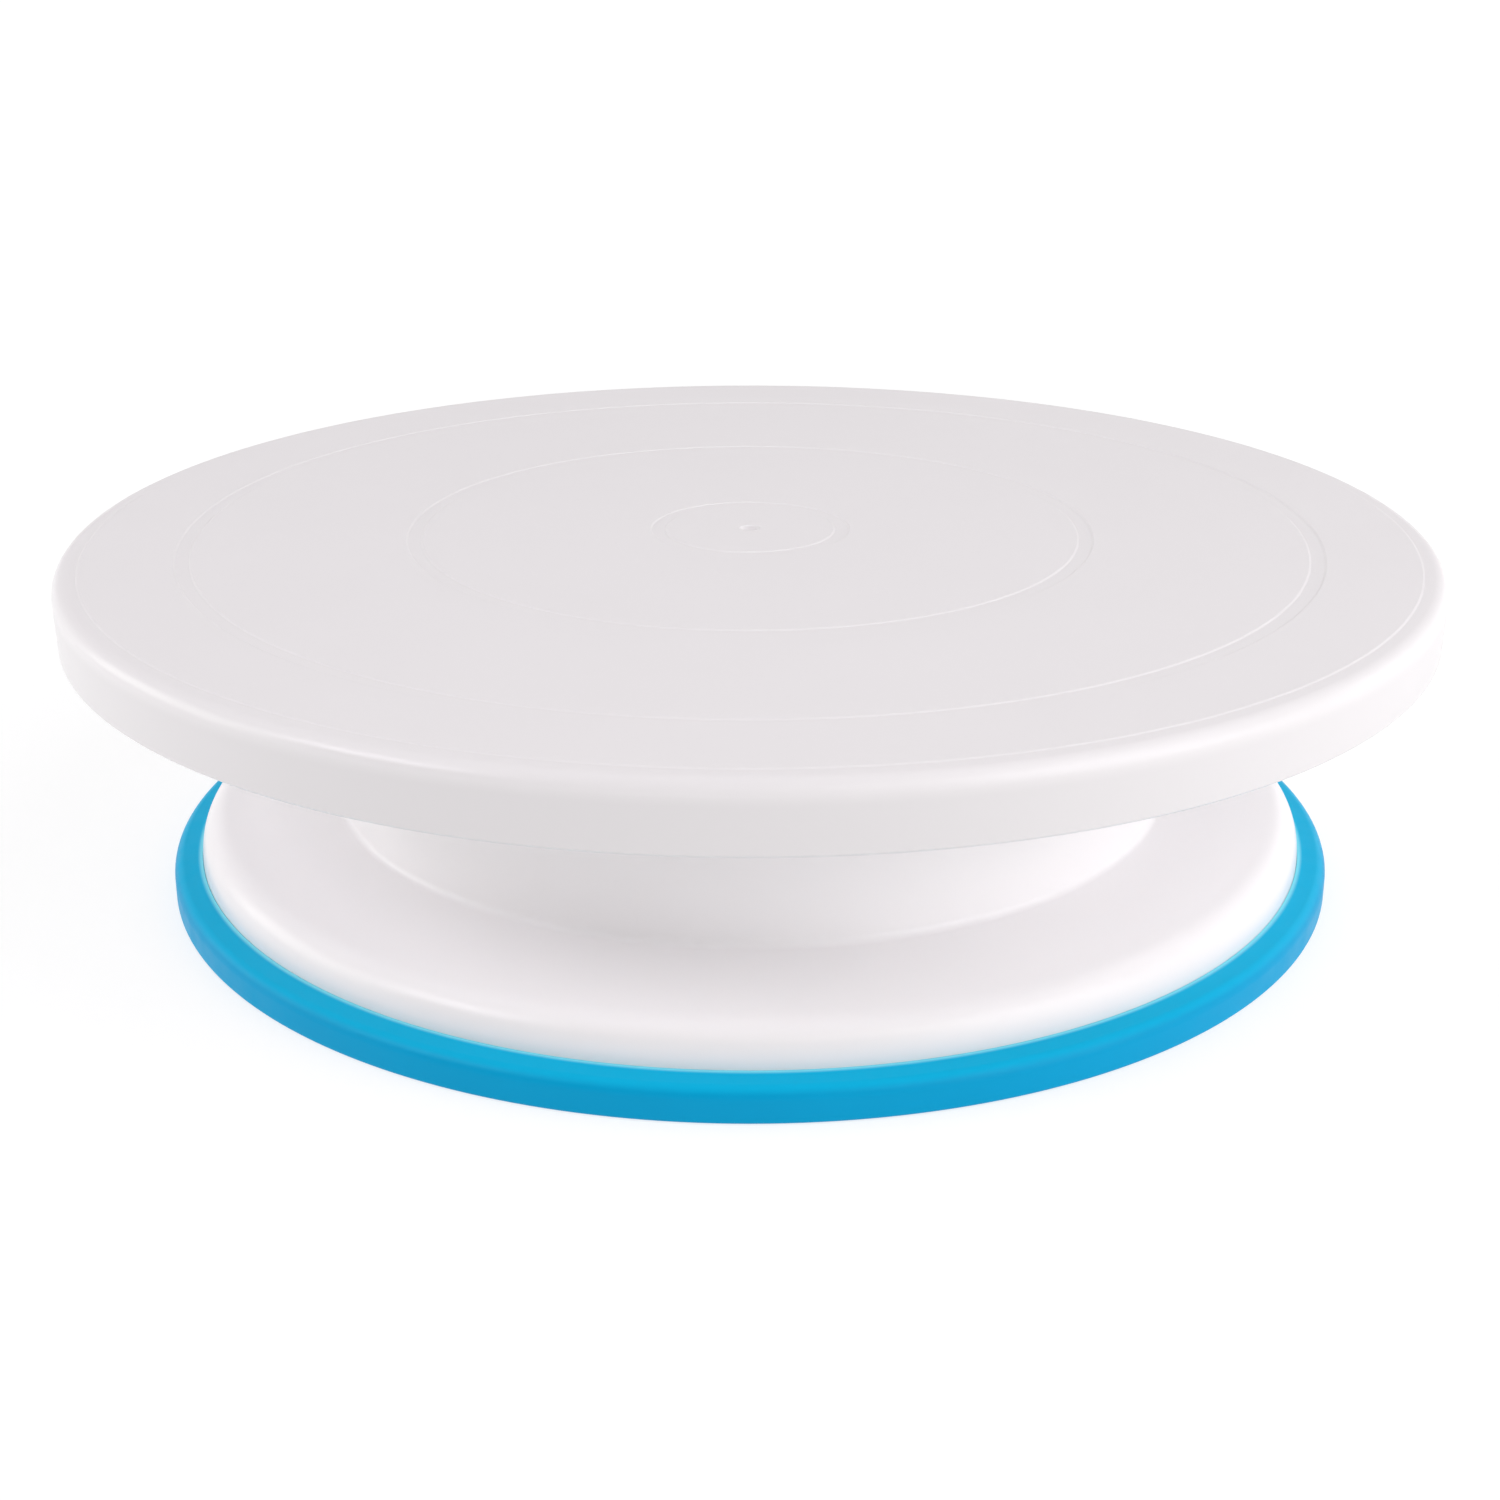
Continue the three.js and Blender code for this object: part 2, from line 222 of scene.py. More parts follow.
def arc_corners(centre_r, centre_z, radius, first, last, steps):
    """Points along an arc, in degrees, each needing no rounding of its own."""
    points = []
    for i in range(steps + 1):
        angle = math.radians(first + (last - first) * i / steps)
        points.append((centre_r + radius * math.cos(angle), centre_z + radius * math.sin(angle), 0))
    return points


def eased_step(start_r, width, start_z, end_z):
    """A smooth step in a level surface, seen in section. Each point needs no rounding of its own."""
    steps = 6
    points = []
    for i in range(steps + 1):
        t = i / steps
        ease = 0.5 - 0.5 * math.cos(math.pi * t)
        points.append((start_r + width * t, start_z + (end_z - start_z) * ease, 0))
    return points


# ---- mesh building ----


def add_turned(bm, outline, sides):
    """Adds the solid made by turning a closed outline about Z."""
    area = sum(a.x * b.y - b.x * a.y for a, b in zip(outline, outline[1:] + outline[:1]))
    ordered = outline if area > 0 else outline[::-1]
    rings = []
    for point in ordered:
        if point.x < 1e-6:
            rings.append([bm.verts.new((0, 0, point.y * MM))] * sides)
            continue
        ring = []
        for j in range(sides):
            angle = 2 * math.pi * j / sides
            x = point.x * MM * math.cos(angle)
            y = point.x * MM * math.sin(angle)
            ring.append(bm.verts.new((x, y, point.y * MM)))
        rings.append(ring)
    for lower, upper in zip(rings, rings[1:] + rings[:1]):
        for j in range(sides):
            k = (j + 1) % sides
            corners = list(dict.fromkeys((lower[j], lower[k], upper[k], upper[j])))
            if len(corners) > 2:
                bm.faces.new(corners)


def join_into(bm, part):
    """Copies part's mesh into bm and frees part."""
    mesh = bpy.data.meshes.new("part")
    part.to_mesh(mesh)
    part.free()
    bm.from_mesh(mesh)
    bpy.data.meshes.remove(mesh)


def add_ribs(bm, outline, count, start_degrees):
    """Adds upright plates along radii, with softened edges. The outline is in (radius, height)."""
    soft_edge = 0.35
    for i in range(count):
        part = bmesh.new()
        side = [part.verts.new((r * MM, -RIB / 2 * MM, z * MM)) for r, z in outline]
        face = part.faces.new(side)
        pushed = bmesh.ops.extrude_face_region(part, geom=[face])
        moved = [v for v in pushed["geom"] if isinstance(v, bmesh.types.BMVert)]
        bmesh.ops.translate(part, verts=moved, vec=(0, RIB * MM, 0))
        bmesh.ops.recalc_face_normals(part, faces=part.faces)
        bmesh.ops.bevel(
            part, geom=part.edges[:], offset=soft_edge * MM, segments=2, affect="EDGES", profile=0.5
        )
        turn = Matrix.Rotation(math.radians(start_degrees + 360 * i / count), 4, "Z")
        bmesh.ops.transform(part, matrix=turn, verts=part.verts)
        join_into(bm, part)


def cut(bm, cutter):
    """Takes the cutter's solid away from bm's, and frees both."""
    meshes = []
    objects = []
    for source in (bm, cutter):
        mesh = bpy.data.meshes.new("cut")
        source.to_mesh(mesh)
        source.free()
        meshes.append(mesh)
        objects.append(bpy.data.objects.new("cut", mesh))
        bpy.context.scene.collection.objects.link(objects[-1])
    modifier = objects[0].modifiers.new("cut", "BOOLEAN")
    modifier.operation = "DIFFERENCE"
    modifier.solver = "EXACT"
    modifier.object = objects[1]
    done = bmesh.new()
    done.from_mesh(objects[0].evaluated_get(bpy.context.evaluated_depsgraph_get()).to_mesh())
    for made in objects:
        bpy.data.objects.remove(made)
    for mesh in meshes:
        bpy.data.meshes.remove(mesh)
    return done


def piece(name, bm, body, material, nodes):
    """Turns a bmesh into a shown piece that rides on a body and stands for its CAD nodes."""
    crease = math.radians(35)
    for face in bm.faces:
        face.smooth = True
    for edge in bm.edges:
        edge.smooth = len(edge.link_faces) == 2 and edge.calc_face_angle() < crease
    mesh = bpy.data.meshes.new(name)
    bm.to_mesh(mesh)
    bm.free()
    mesh.materials.append(material)
    made = bpy.data.objects.new(name, mesh)
    bpy.context.scene.collection.objects.link(made)
    made.modifiers.new("even shading", "WEIGHTED_NORMAL").keep_sharp = True
    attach(made, body)
    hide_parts(*nodes)


# ---- material nodes ----


def new_material(name, **sockets):
    """A Principled material with the given socket values. Returns it, its tree and its shader."""
    material = bpy.data.materials.new(name)
    material.use_nodes = True
    tree = material.node_tree
    shader = tree.nodes["Principled BSDF"]
    for socket, value in sockets.items():
        shader.inputs[socket.replace("_", " ")].default_value = value
    return material, tree, shader


def place(tree):
    """The point on the piece, in metres in the frame."""
    return tree.nodes.new("ShaderNodeTexCoord").outputs["Object"]


def noise(tree, point, scale, detail=2.0):
    """A smooth random pattern, mostly between 0.3 and 0.7."""
    node = tree.nodes.new("ShaderNodeTexNoise")
    node.inputs["Scale"].default_value = scale
    node.inputs["Detail"].default_value = detail
    tree.links.new(point, node.inputs["Vector"])
    return node.outputs["Fac"]


def between(tree, factor, low, high):
    """Maps a noise value to a range."""
    node = tree.nodes.new("ShaderNodeMapRange")
    node.inputs["From Min"].default_value = 0.3
    node.inputs["From Max"].default_value = 0.7
    node.inputs["To Min"].default_value = low
    node.inputs["To Max"].default_value = high
    tree.links.new(factor, node.inputs["Value"])
    return node.outputs["Result"]


def two_colours(tree, factor, first, second):
    """Goes from the first colour to the second as the factor goes from 0 to 1."""
    node = tree.nodes.new("ShaderNodeMix")
    node.data_type = "RGBA"
    node.inputs["A"].default_value = (*first, 1)
    node.inputs["B"].default_value = (*second, 1)
    tree.links.new(factor, node.inputs["Factor"])
    return node.outputs["Result"]


def blend(tree, factor, under, colour):
    """Lays a colour over another node's colour."""
    node = tree.nodes.new("ShaderNodeMix")
    node.data_type = "RGBA"
    node.inputs["B"].default_value = (*colour, 1)
    tree.links.new(under, node.inputs["A"])
    tree.links.new(factor, node.inputs["Factor"])
    return node.outputs["Result"]


def bump(tree, shader, layers):
    """Stacks bump layers of (pattern, depth in metres) and feeds the shader's normal."""
    normal = None
    for pattern, depth in layers:
        node = tree.nodes.new("ShaderNodeBump")
        node.inputs["Distance"].default_value = depth
        tree.links.new(pattern, node.inputs["Height"])
        if normal is not None:
            tree.links.new(normal, node.inputs["Normal"])
        normal = node.outputs["Normal"]
    tree.links.new(normal, shader.inputs["Normal"])


def along_radius(tree, point):
    """The distance from the spin axis, as a vector, so that a noise of it makes rings."""
    flat = tree.nodes.new("ShaderNodeVectorMath")
    flat.operation = "MULTIPLY"
    flat.inputs[1].default_value = (1, 1, 0)
    tree.links.new(point, flat.inputs[0])
    length = tree.nodes.new("ShaderNodeVectorMath")
    length.operation = "LENGTH"
    tree.links.new(flat.outputs["Vector"], length.inputs[0])
    joined = tree.nodes.new("ShaderNodeCombineXYZ")
    tree.links.new(length.outputs["Value"], joined.inputs["X"])
    return joined.outputs["Vector"]


def axis_part(tree, vector, axis):
    """One of a vector's three parts: "X", "Y" or "Z"."""
    parts = tree.nodes.new("ShaderNodeSeparateXYZ")
    tree.links.new(vector, parts.inputs["Vector"])
    return parts.outputs[axis]


def height_of(tree, point):
    """The height above the table, in metres."""
    return axis_part(tree, point, "Z")


def radius_of(tree, point):
    """The distance from the spin axis, in metres."""
    return axis_part(tree, along_radius(tree, point), "X")


def ramp(tree, value, start, end, at_start, at_end):
    """Goes smoothly between two outputs as a value in metres goes from start to end millimetres."""
    node = tree.nodes.new("ShaderNodeMapRange")
    node.interpolation_type = "SMOOTHSTEP"
    node.inputs["From Min"].default_value = start * MM
    node.inputs["From Max"].default_value = end * MM
    node.inputs["To Min"].default_value = at_start
    node.inputs["To Max"].default_value = at_end
    tree.links.new(value, node.inputs["Value"])
    return node.outputs["Result"]


def product(tree, first, second):
    """Two values multiplied."""
    node = tree.nodes.new("ShaderNodeMath")
    node.operation = "MULTIPLY"
    tree.links.new(first, node.inputs[0])
    tree.links.new(second, node.inputs[1])
    return node.outputs["Value"]


# ---- materials ----


def white_plastic(name, first, second, shade, frosting=None):
    """Satin moulded polypropylene: a fine even grain over slow, faint unevenness left by cooling.

    shade(tree, point) scales the colour with painted light and shade, and frosting(tree, point) the
    roughness.
    """
    material, tree, shader = new_material(name, IOR=1.49, Specular_IOR_Level=0.4)
    point = place(tree)
    tint = two_colours(tree, noise(tree, point, 14), first, second)
    # Painted light and shade: the colour is scaled by shade(tree, point).
    scaled = tree.nodes.new("ShaderNodeVectorMath")
    scaled.operation = "SCALE"
    tree.links.new(tint, scaled.inputs[0])
    tree.links.new(shade(tree, point), scaled.inputs["Scale"])
    tree.links.new(scaled.outputs["Vector"], shader.inputs["Base Color"])
    roughness = between(tree, noise(tree, point, 55), 0.28, 0.33)
    if frosting:
        roughness = product(tree, roughness, frosting(tree, point))
    tree.links.new(roughness, shader.inputs["Roughness"])
    unevenness = (noise(tree, point, 22), 0.00004)
    grain = (noise(tree, point, 2600), 0.0000025)
    bump(tree, shader, [unevenness, grain])
    return material


def frosted_top(tree, point):
    """The disc's top is frosted, so it is rougher than its rim and the rest of the plastic."""
    top_roughness = 2.1
    return ramp(tree, height_of(tree, point), TOP - 1.2, TOP - 0.4, 1, top_roughness)


def disc_painted_light_and_shade(tree, point):
    """Painted light and shade: the disc is painted whitest underneath, as painted light, and a little
    greyer down its rim than its top, as painted shade.
    """
    rim_painted_shade = 0.93
    underside_painted_light = 1.24
    z = height_of(tree, point)
    # Painted shade: greyer down the rim.
    outside = ramp(tree, z, TOP - 5, TOP - 2, rim_painted_shade, 1)
    low_down = ramp(tree, z, TOP - 2.2, TOP - 1.5, 1, 0)
    inside = ramp(tree, radius_of(tree, point), PLATE_R - 1.8, PLATE_R - 0.8, 1, 0)
    # Painted light: whiter on the underside, inside the rim.
    node = tree.nodes.new("ShaderNodeMix")
    node.inputs["B"].default_value = underside_painted_light
    tree.links.new(product(tree, low_down, inside), node.inputs["Factor"])
    tree.links.new(outside, node.inputs["A"])
    return node.outputs["Result"]


def base_painted_shade(tree, point):
    """Painted shade: the base is whitest on its slope, and painted greyer down its shoulder and up its
    drum.
    """
    shoulder_painted_shade = 0.845
    drum_painted_shade = 0.86
    z = height_of(tree, point)
    shoulder = ramp(tree, z, 11.5, SHOULDER_Z + 0.5, shoulder_painted_shade, 1)
    # Painted shade up the drum, under the disc.
    drum = ramp(tree, z, DRUM_FOOT_Z + 0.5, DRUM_FOOT_Z + 30, 1, drum_painted_shade)
    return product(tree, shoulder, drum)


def blue_rubber():
    """Smooth moulded elastomer with a fine matt grain. Its top is painted lighter than its side, as
    painted light, and its thin lip paler still, as a painted highlight.
    """
    top_painted_light_colour = (0.001, 0.42, 0.69)
    lip_painted_highlight_colour = (0.20, 0.69, 0.84)
    material, tree, shader = new_material("blue rubber", IOR=1.5, Specular_IOR_Level=0.08)
    point = place(tree)
    side = two_colours(tree, noise(tree, point, 60), (0, 0.30, 0.55), (0, 0.32, 0.58))
    # Painted light: the top is lighter than the side.
    on_top = ramp(tree, height_of(tree, point), 5.4, 6.8, 0, 1)
    side_and_top = blend(tree, on_top, side, top_painted_light_colour)
    # Painted highlight: a paler band along the thin lip.
    near_lip = ramp(tree, radius_of(tree, point), FOOT_LIP_R + 0.3, FOOT_LIP_R + 1.2, 1, 0)
    whole = blend(tree, product(tree, on_top, near_lip), side_and_top, lip_painted_highlight_colour)
    tree.links.new(whole, shader.inputs["Base Color"])
    tree.links.new(between(tree, noise(tree, point, 180), 0.38, 0.48), shader.inputs["Roughness"])
    bump(tree, shader, [(noise(tree, point, 90), 0.00003), (noise(tree, point, 3200), 0.000006)])
    return material


def steel(name, low, high):
    """Bright steel with fine rings left by turning or grinding. Its roughness goes from low to high."""
    material, tree, shader = new_material(name, Metallic=1.0)
    point = place(tree)
    rings = noise(tree, along_radius(tree, point), 3000, 4)
    tint = two_colours(tree, noise(tree, point, 120), (0.56, 0.57, 0.58), (0.64, 0.645, 0.65))
    tree.links.new(tint, shader.inputs["Base Color"])
    tree.links.new(between(tree, rings, low, high), shader.inputs["Roughness"])
    bump(tree, shader, [(rings, 0.000004)])
    return material


def natural_plastic(name, first, second, low):
    """Uncoloured engineering plastic, slightly mottled. Its roughness goes up from low."""
    material, tree, shader = new_material(name, IOR=1.5)
    point = place(tree)
    tint = two_colours(tree, noise(tree, point, 90), first, second)
    tree.links.new(tint, shader.inputs["Base Color"])
    roughness = between(tree, noise(tree, point, 150), low, low + 0.1)
    tree.links.new(roughness, shader.inputs["Roughness"])
    bump(tree, shader, [(noise(tree, point, 1800), 0.000008)])
    return material


# Painted light: the base's white is made lighter than the disc's, though both are the same white plastic.
DISC_WHITE = white_plastic(
    "disc white", (0.733, 0.710, 0.717), (0.745, 0.722, 0.729), disc_painted_light_and_shade, frosted_top
)
BASE_WHITE_PAINTED_LIGHTER = white_plastic("base white", (0.940, 0.918, 0.924), (0.950, 0.928, 0.934), base_painted_shade)
BLUE = blue_rubber()
RACE_STEEL = steel("ground steel", 0.2, 0.32)
BALL_STEEL = steel("polished steel", 0.06, 0.12)
ZINC = steel("zinc-plated steel", 0.3, 0.42)
NYLON = natural_plastic("cage nylon", (0.66, 0.63, 0.53), (0.73, 0.70, 0.61), 0.4)
ACETAL = natural_plastic("bush acetal", (0.72, 0.69, 0.61), (0.78, 0.76, 0.69), 0.3)


# ---- the turning disc ----


def groove(middle_r):
    """A shallow flat-bottomed groove in the disc's top, seen in section."""
    start = middle_r - GROOVE_W / 2
    end = middle_r + GROOVE_W / 2
    bottom = TOP - GROOVE_D
    way_down = eased_step(start, GROOVE_SIDE_W, TOP, bottom)
    way_up = eased_step(end - GROOVE_SIDE_W, GROOVE_SIDE_W, bottom, TOP)
    return way_down + way_up


def race_seat(z, side):
    """Two low walls that hold a race, hanging down for side -1 or standing up for side 1."""
    tip = z + side * SEAT_H
    return [
        (SEAT_OUT_R + SEAT_WALL, z),
        (SEAT_OUT_R + SEAT_WALL, tip),
        (SEAT_OUT_R, tip),
        (SEAT_OUT_R, z, 0.1),
        (SEAT_IN_R, z, 0.1),
        (SEAT_IN_R, tip),
        (SEAT_IN_R - SEAT_WALL, tip),
        (SEAT_IN_R - SEAT_WALL, z),
    ]


def plate_outline():
    """The disc in section: top, rim, underside with shroud and race seat, then spindle and bore."""
    bore_top = screw_high.z + 2
    shroud_bottom = PLATE_UNDER - SHROUD_DROP
    return [
        (0, TOP - GATE_DEPTH),
        (GATE_FLOOR_R, TOP - GATE_DEPTH + GATE_FLOOR_RISE, 0.8),
        (GATE_MOUTH_R, TOP, 0.2),
        *[point for middle_r in GROOVE_RS for point in groove(middle_r)],
        *eased_step(EDGE_START_R, EDGE_STEP_W, TOP, TOP - EDGE_STEP_D),
        *arc_corners(PLATE_R - EDGE_R, TOP - EDGE_FALL - EDGE_R, EDGE_R, 88, 0, 16),
        (PLATE_R - 0.25, RIM_BOTTOM + 0.6, 0.3),
        (PLATE_R - 0.9, RIM_BOTTOM, 0.5),
        (PLATE_IN_R + 0.3, RIM_BOTTOM, 0.5),
        (PLATE_IN_R - 0.2, PLATE_UNDER, 1.0),
        (SHROUD_OUT_R + 0.2, PLATE_UNDER, 0.8),
        (SHROUD_OUT_R, shroud_bottom),
        (SHROUD_IN_R, shroud_bottom),
        (SHROUD_IN_R, PLATE_UNDER),
        *race_seat(PLATE_UNDER, -1),
        (SPINDLE_R, PLATE_UNDER, 0.8),
        (SPINDLE_R, SPINDLE_END, 0.6),
        (PILOT_R, SPINDLE_END),
        (PILOT_R, bore_top),
        (0, bore_top),
    ]


def disc():
    """The hollow disc with its spindle, stiffened underneath by two rows of ribs."""
    bm = bmesh.new()
    add_turned(bm, rounded(plate_outline()), LARGE_SIDES)
    root = PLATE_UNDER + BURIED
    deep = PLATE_UNDER - 5
    outer_rib = [
        (SHROUD_OUT_R - BURIED, root),
        (SHROUD_OUT_R - BURIED, deep),
        (PLATE_IN_R + BURIED, PLATE_UNDER - 3),
        (PLATE_IN_R + BURIED, root),
    ]
    add_ribs(bm, outer_rib, PLATE_RIBS_OUTSIDE, PLATE_RIB_START_DEGREES)
    seat_side_r = SEAT_IN_R - SEAT_WALL
    shallow = PLATE_UNDER - 1.2
    inner_rib = [
        (SPINDLE_R - BURIED, root),
        (SPINDLE_R - BURIED, deep),
        (seat_side_r - 4, shallow),
        (seat_side_r + SEAT_WALL / 2, shallow),
        (seat_side_r + SEAT_WALL / 2, root),
    ]
    add_ribs(bm, inner_rib, PLATE_RIBS_INSIDE, PLATE_RIB_START_DEGREES)
    piece("disc", bm, "turntable", DISC_WHITE, ["turntable_plate"])


# ---- the base and its rubber ring ----


def base_outline():
    """The base in section: flange, skirt, slope and drum outside, then deck, hub and back inside."""
    skirt_r = FOOT_LIP_R - 0.05
    skirt_in_r = FOOT_LIP_R - GAP - WALL
    drum_in_top = DRUM_TOP_R - WALL
    drum_in_foot = DRUM_R - WALL
    shoulder_under = SHOULDER_Z - WALL
    return [
        (FLANGE_R, FLANGE_BOTTOM),
        (FLANGE_R, FLANGE_TOP),
        (skirt_r, FLANGE_TOP),
        (skirt_r, FOOT_LIP_Z - 0.4, 0),
        *curve_through((skirt_r, FOOT_LIP_Z), (skirt_r, SHOULDER_CORNER_Z), (SHOULDER_R, SHOULDER_Z), 18),
        (DRUM_R, DRUM_FOOT_Z, 1.6),
        (DRUM_TOP_R, DRUM_TOP_Z, 0.8),
        (drum_in_top, DRUM_TOP_Z, 0.5),
        (drum_in_top, DECK_TOP, 0.8),
        *race_seat(DECK_TOP, 1),
        (HUB_IN_R, DECK_TOP),
        (HUB_IN_R, HUB_BOTTOM),
        (HUB_OUT_R, HUB_BOTTOM),
        (HUB_OUT_R + 0.5, DECK_UNDER, 1.2),
        (drum_in_top, DECK_UNDER, 1.2),
        (drum_in_foot, DRUM_FOOT_Z - WALL, 2),
        *curve_through(
            (SHOULDER_R - 0.5, shoulder_under), (skirt_in_r, shoulder_under), (skirt_in_r, FOOT_LIP_Z), 8
        ),
        (skirt_in_r, FLANGE_BOTTOM),
    ]


def base():
    """The hollow base, with ribs under its deck."""
    bm = bmesh.new()
    add_turned(bm, rounded(base_outline()), LARGE_SIDES)
    root = DECK_UNDER + BURIED
    drum_side_r = DRUM_TOP_R - WALL + BURIED
    deck_rib = [
        (HUB_OUT_R - BURIED, root),
        (HUB_OUT_R - BURIED, HUB_BOTTOM + 6),
        (drum_side_r, DECK_UNDER - 5),
        (drum_side_r, root),
    ]
    add_ribs(bm, deck_rib, DECK_RIBS, DECK_RIB_START_DEGREES)
    piece("base", bm, "base", BASE_WHITE_PAINTED_LIGHTER, ["base_shell"])


def foot_ring():
    """The rubber ring grips the base's flange in a channel, and stands on the table."""
    channel_top = FLANGE_TOP + GAP
    channel_bottom = FLANGE_BOTTOM - GAP
    channel_r = FLANGE_R + GAP
    inner_lip_r = FOOT_LIP_R - GAP - WALL - GAP
    inner_lip_z = 4
    edge_r = 2.5
    edge_z = 4.4
    corners = [
        (FOOT_R, 0, 0.8),
        *arc_corners(FOOT_R - edge_r, edge_z, edge_r, 0, 82, 14),
        (FOOT_LIP_R, FOOT_LIP_Z, 0.12),
        (FOOT_LIP_R, channel_top),
        (channel_r, channel_top),
        (channel_r, channel_bottom),
        (inner_lip_r, channel_bottom),
        (inner_lip_r, inner_lip_z, 0.6),
        (inner_lip_r - 2, inner_lip_z, 0.6),
        (inner_lip_r - 2.4, 0, 0.5),
    ]
    bm = bmesh.new()
    add_turned(bm, rounded(corners, steps=6), LARGE_SIDES)
    piece("foot_ring", bm, "base", BLUE, ["non_slip_ring"])


# ---- the ball bearing ----


def track_corners(face_z, side):
    """The shallow round track for the balls, in a face that looks down for side -1 or up for side 1."""
    steps = 8
    half_w = math.sqrt(BALL_R ** 2 - (BALL_R - TRACK_DEPTH) ** 2)
    points = []
    for i in range(steps + 1):
        offset = half_w * (2 * i / steps - 1)
        fall = TRACK_DEPTH * (1 - (offset / half_w) ** 2)
        points.append((PITCH_R + offset, face_z - side * fall, 0))
    return points


def race(name, low_z, high_z, side, body):
    """A flat steel ring with a ball track on its lower face for side -1, or its upper face for side 1."""
    tracked = high_z if side > 0 else low_z
    plain = low_z if side > 0 else high_z
    corners = [
        (PITCH_R - RACE_HALF_W, plain),
        (PITCH_R - RACE_HALF_W, tracked),
        *track_corners(tracked, side),
        (PITCH_R + RACE_HALF_W, tracked),
        (PITCH_R + RACE_HALF_W, plain),
    ]
    bm = bmesh.new()
    add_turned(bm, rounded(corners, 0.2, 3), RING_SIDES)
    piece(name + "_ring", bm, body, RACE_STEEL, [name])


def ball_spot(i):
    """The move from the frame's origin to the centre of ball i, counted from 0."""
    angle = 2 * math.pi * i / BALL_COUNT
    x = PITCH_R * MM * math.cos(angle)
    y = PITCH_R * MM * math.sin(angle)
    return Matrix.Translation((x, y, BALL_Z * MM))


def cage():
    """The flat ring that keeps the balls apart, with a round pocket for each."""
    low = cage_low.z
    high = cage_high.z
    inner = PITCH_R - (cage_high.x - PITCH_R)
    corners = [(inner, low), (cage_high.x, low), (cage_high.x, high), (inner, high)]
    bm = bmesh.new()
    add_turned(bm, rounded(corners, 0.5), RING_SIDES)
    pockets = bmesh.new()
    for i in range(BALL_COUNT):
        bmesh.ops.create_uvsphere(
            pockets, u_segments=40, v_segments=24, radius=(BALL_R + GAP) * MM, matrix=ball_spot(i)
        )
    piece("cage", cut(bm, pockets), "cage", NYLON, ["ball_cage"])


def balls():
    """The steel balls, each on its own body."""
    for i in range(BALL_COUNT):
        bm = bmesh.new()
        bmesh.ops.create_icosphere(bm, subdivisions=4, radius=BALL_R * MM, matrix=ball_spot(i))
        number = f"{i + 1:02d}"
        piece("steel_ball_" + number, bm, "ball_" + number, BALL_STEEL, ["ball_" + number])


# ---- the spindle's bush, washer and screw ----


def bush():
    """The flanged bush that the spindle turns in."""
    flange_r = bush_high.x
    flange_bottom = DECK_TOP + GAP
    corners = [
        (BUSH_IN_R, bush_high.z, 0.4),
        (flange_r, bush_high.z, 0.3),
        (flange_r, flange_bottom, 0.3),
        (BUSH_OUT_R, flange_bottom, 0.2),
        (BUSH_OUT_R, bush_low.z, 0.5),
        (BUSH_IN_R, bush_low.z, 0.4),
    ]
    bm = bmesh.new()
    add_turned(bm, rounded(corners), SMALL_SIDES)
    piece("bush", bm, "base", ACETAL, ["hub_bush"])


def washer():
    """The washer that keeps the disc from lifting off."""
    hole_r = 2.3
    corners = [
        (hole_r, washer_low.z, 0.15),
        (washer_high.x, washer_low.z, 0.4),
        (washer_high.x, washer_high.z, 0.1),
        (hole_r, washer_high.z, 0.1),
    ]
    bm = bmesh.new()
    add_turned(bm, rounded(corners), SMALL_SIDES)
    piece("washer", bm, "turntable", ZINC, ["retaining_washer"])


def add_thread(bm, core_r, outer_r, low, high, pitch):
    """Adds a tapering V-shaped ridge that winds up a shank."""
    per_turn = 24
    root_r = core_r - 0.2
    count = int((high - low) / pitch * per_turn)
    sections = []
    for i in range(count + 1):
        angle = 2 * math.pi * i / per_turn
        middle = low + pitch * i / per_turn
        swell = min(1, i / (per_turn / 2), (count - i) / per_turn)
        crest = core_r + (outer_r - core_r) * swell
        section = []
        for r, offset in ((root_r, -0.45), (crest, -0.04), (crest, 0.04), (root_r, 0.45)):
            z = middle + offset * pitch
            section.append(bm.verts.new((r * MM * math.cos(angle), r * MM * math.sin(angle), z * MM)))
        sections.append(section)
    for a, b in zip(sections, sections[1:]):
        for j in range(4):
            k = (j + 1) % 4
            bm.faces.new((a[j], b[j], b[k], a[k]))
    bm.faces.new(sections[0])
    bm.faces.new(sections[-1][::-1])


def cross_recess(head_low):
    """The solid of a cross-shaped screwdriver recess: two blades that narrow as they go in."""
    recess = bmesh.new()
    size = Matrix.Diagonal((4.6 * MM, 1.1 * MM, 3.2 * MM, 1))
    narrowing = 0.35
    for turn in (0, math.pi / 2):
        blade = bmesh.new()
        bmesh.ops.create_cube(blade, size=1, matrix=size)
        for vert in blade.verts:
            if vert.co.z > 0:
                vert.co.x *= narrowing
        spot = Matrix.Translation((0, 0, head_low * MM)) @ Matrix.Rotation(turn, 4, "Z")
        bmesh.ops.transform(blade, matrix=spot, verts=blade.verts)
        join_into(recess, blade)
    return recess


def screw():
    """The screw that holds the washer, driven up into the spindle."""
    head_r = screw_high.x
    head_low = screw_low.z
    head_top = head_low + 2.8
    outer_r = 2.0
    core_r = 1.55
    pitch = 1.4
    tip = screw_high.z
    corners = [
        (0, head_low),
        (head_r - 1.2, head_low, 2),
        (head_r, head_low + 1.3, 1.2),
        (head_r, head_top, 0.25),
        (core_r, head_top, 0.3),
        (core_r, tip - 2.5, 0.2),
        (0, tip),
    ]
    bm = bmesh.new()
    add_turned(bm, rounded(corners), SCREW_SIDES)
    bm = cut(bm, cross_recess(head_low))
    add_thread(bm, core_r, outer_r, head_top + 1.2, tip - 2.2, pitch)
    piece("screw", bm, "turntable", ZINC, ["retaining_screw"])


# ---- floor, light and camera ----


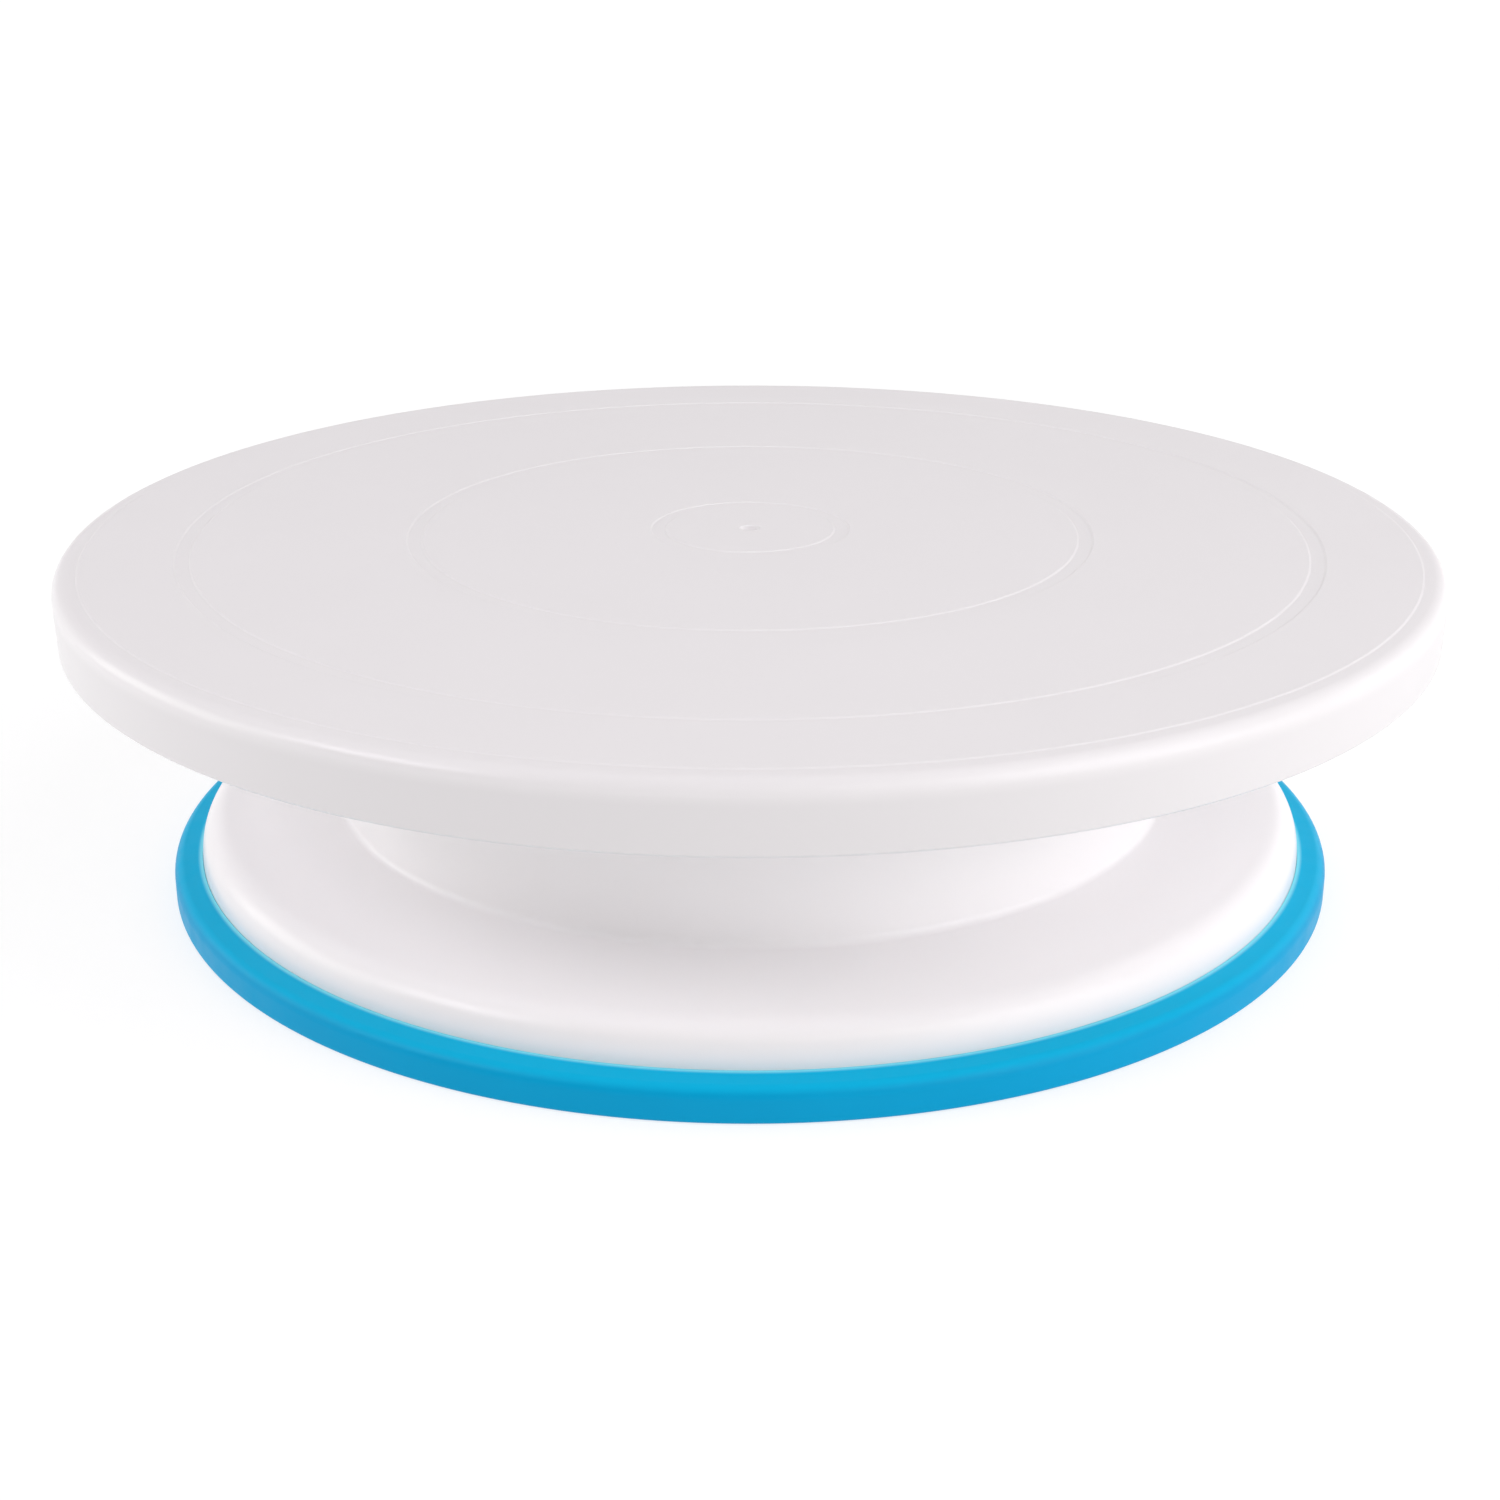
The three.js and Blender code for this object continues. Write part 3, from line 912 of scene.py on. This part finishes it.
def floor():
    """A pale table that glows, most of all in the distance, like a lit backdrop."""
    bm = bmesh.new()
    bmesh.ops.create_grid(bm, x_segments=1, y_segments=1, size=14)
    mesh = bpy.data.meshes.new("floor")
    bm.to_mesh(mesh)
    bm.free()
    ground = bpy.data.objects.new("floor", mesh)
    ground.location.z = CAD_LOW.z - 0.0001
    bpy.context.scene.collection.objects.link(ground)
    material, tree, shader = new_material("floor", Roughness=0.9, Specular_IOR_Level=0.1)
    point = place(tree)
    tint = two_colours(tree, noise(tree, point, 3), (0.30, 0.30, 0.30), (0.31, 0.31, 0.31))
    tree.links.new(tint, shader.inputs["Base Color"])
    away = ramp(tree, radius_of(tree, point), 500, 1600, 0, 1)
    glow = two_colours(tree, away, (0.72, 0.72, 0.72), (1, 1, 1))
    tree.links.new(glow, shader.inputs["Emission Color"])
    shader.inputs["Emission Strength"].default_value = 1
    mesh.materials.append(material)


def softbox(name, azimuth, elevation, size, watts, colour=(1, 1, 1)):
    """A soft light round the stand. Azimuth 0 is the camera's side and 90 is on its right."""
    target = Vector((0, 0, LIGHT_TARGET_Z))
    turn = math.radians(azimuth)
    rise = math.radians(elevation)
    away = Vector((math.sin(turn) * math.cos(rise), -math.cos(turn) * math.cos(rise), math.sin(rise)))
    data = bpy.data.lights.new(name, "AREA")
    data.shape = "RECTANGLE"
    data.size, data.size_y = size
    data.energy = watts
    data.color = colour
    lamp = bpy.data.objects.new(name, data)
    lamp.location = target + away * LIGHT_DISTANCE
    lamp.rotation_euler = (-away).to_track_quat("-Z", "Y").to_euler()
    bpy.context.scene.collection.objects.link(lamp)


def lights():
    """Wide boxes stand low all round and hang high overhead, with smaller ones between them in front."""
    low = (1.1, 0.6)
    high = (1.1, 0.8)
    front = (0.8, 0.5)
    small = (0.65, 0.4)
    softbox("left back", -130, 16, low, 1.3)
    softbox("left", -95, 16, low, 5.6, (0.99, 1, 0.97))
    softbox("left top", -90, 60, high, 2.2, (0.96, 0.94, 1))
    softbox("left front top", -64, 36, small, 5.4, (0.98, 0.95, 1))
    softbox("back", 180, 16, low, 1.2)
    softbox("back top", 180, 60, high, 1.8, (1, 0.95, 0.94))
    softbox("right back", 130, 16, low, 2.0)
    softbox("right", 95, 16, low, 2.1)
    softbox("right top", 90, 60, high, 4.3)
    softbox("right front", 55, 16, low, 6.0, (0.98, 0.98, 1))
    softbox("right front top", 60, 37, front, 3.8, (0.97, 0.94, 1))
    softbox("front top", 30, 37, front, 2.3, (1, 0.99, 0.93))


def surroundings():
    """A dim even fill that brightens to white just above the horizon, like the foot of a lit backdrop."""
    world = bpy.data.worlds.new("studio")
    world.use_nodes = True
    tree = world.node_tree
    # The direction has a length of 1, so the fade ends 140 thousandths up, at about 8 degrees.
    direction = tree.nodes.new("ShaderNodeTexCoord").outputs["Generated"]
    strength = ramp(tree, axis_part(tree, direction, "Z"), 0, 140, 1, 0.2)
    background = tree.nodes["Background"]
    background.inputs["Color"].default_value = (1, 1, 1, 1)
    tree.links.new(strength, background.inputs["Strength"])
    bpy.context.scene.world = world


def camera():
    data = bpy.data.cameras.new("camera")
    data.lens = LENS_MM
    data.sensor_width = 36
    data.clip_start = 0.02
    data.clip_end = 30
    made = bpy.data.objects.new("camera", data)
    made.location = (0, -CAMERA_BACK, CAMERA_UP)
    made.rotation_euler = (math.radians(90 - CAMERA_TILT), 0, 0)
    bpy.context.scene.collection.objects.link(made)
    bpy.context.scene.camera = made


disc()
base()
foot_ring()
race("upper_race", upper_low.z, upper_high.z, -1, "turntable")
race("lower_race", lower_low.z, lower_high.z, 1, "base")
cage()
balls()
bush()
washer()
screw()
floor()
lights()
surroundings()
camera()
bpy.context.scene.view_settings.view_transform = "Standard"
bpy.context.scene.view_settings.look = "None"
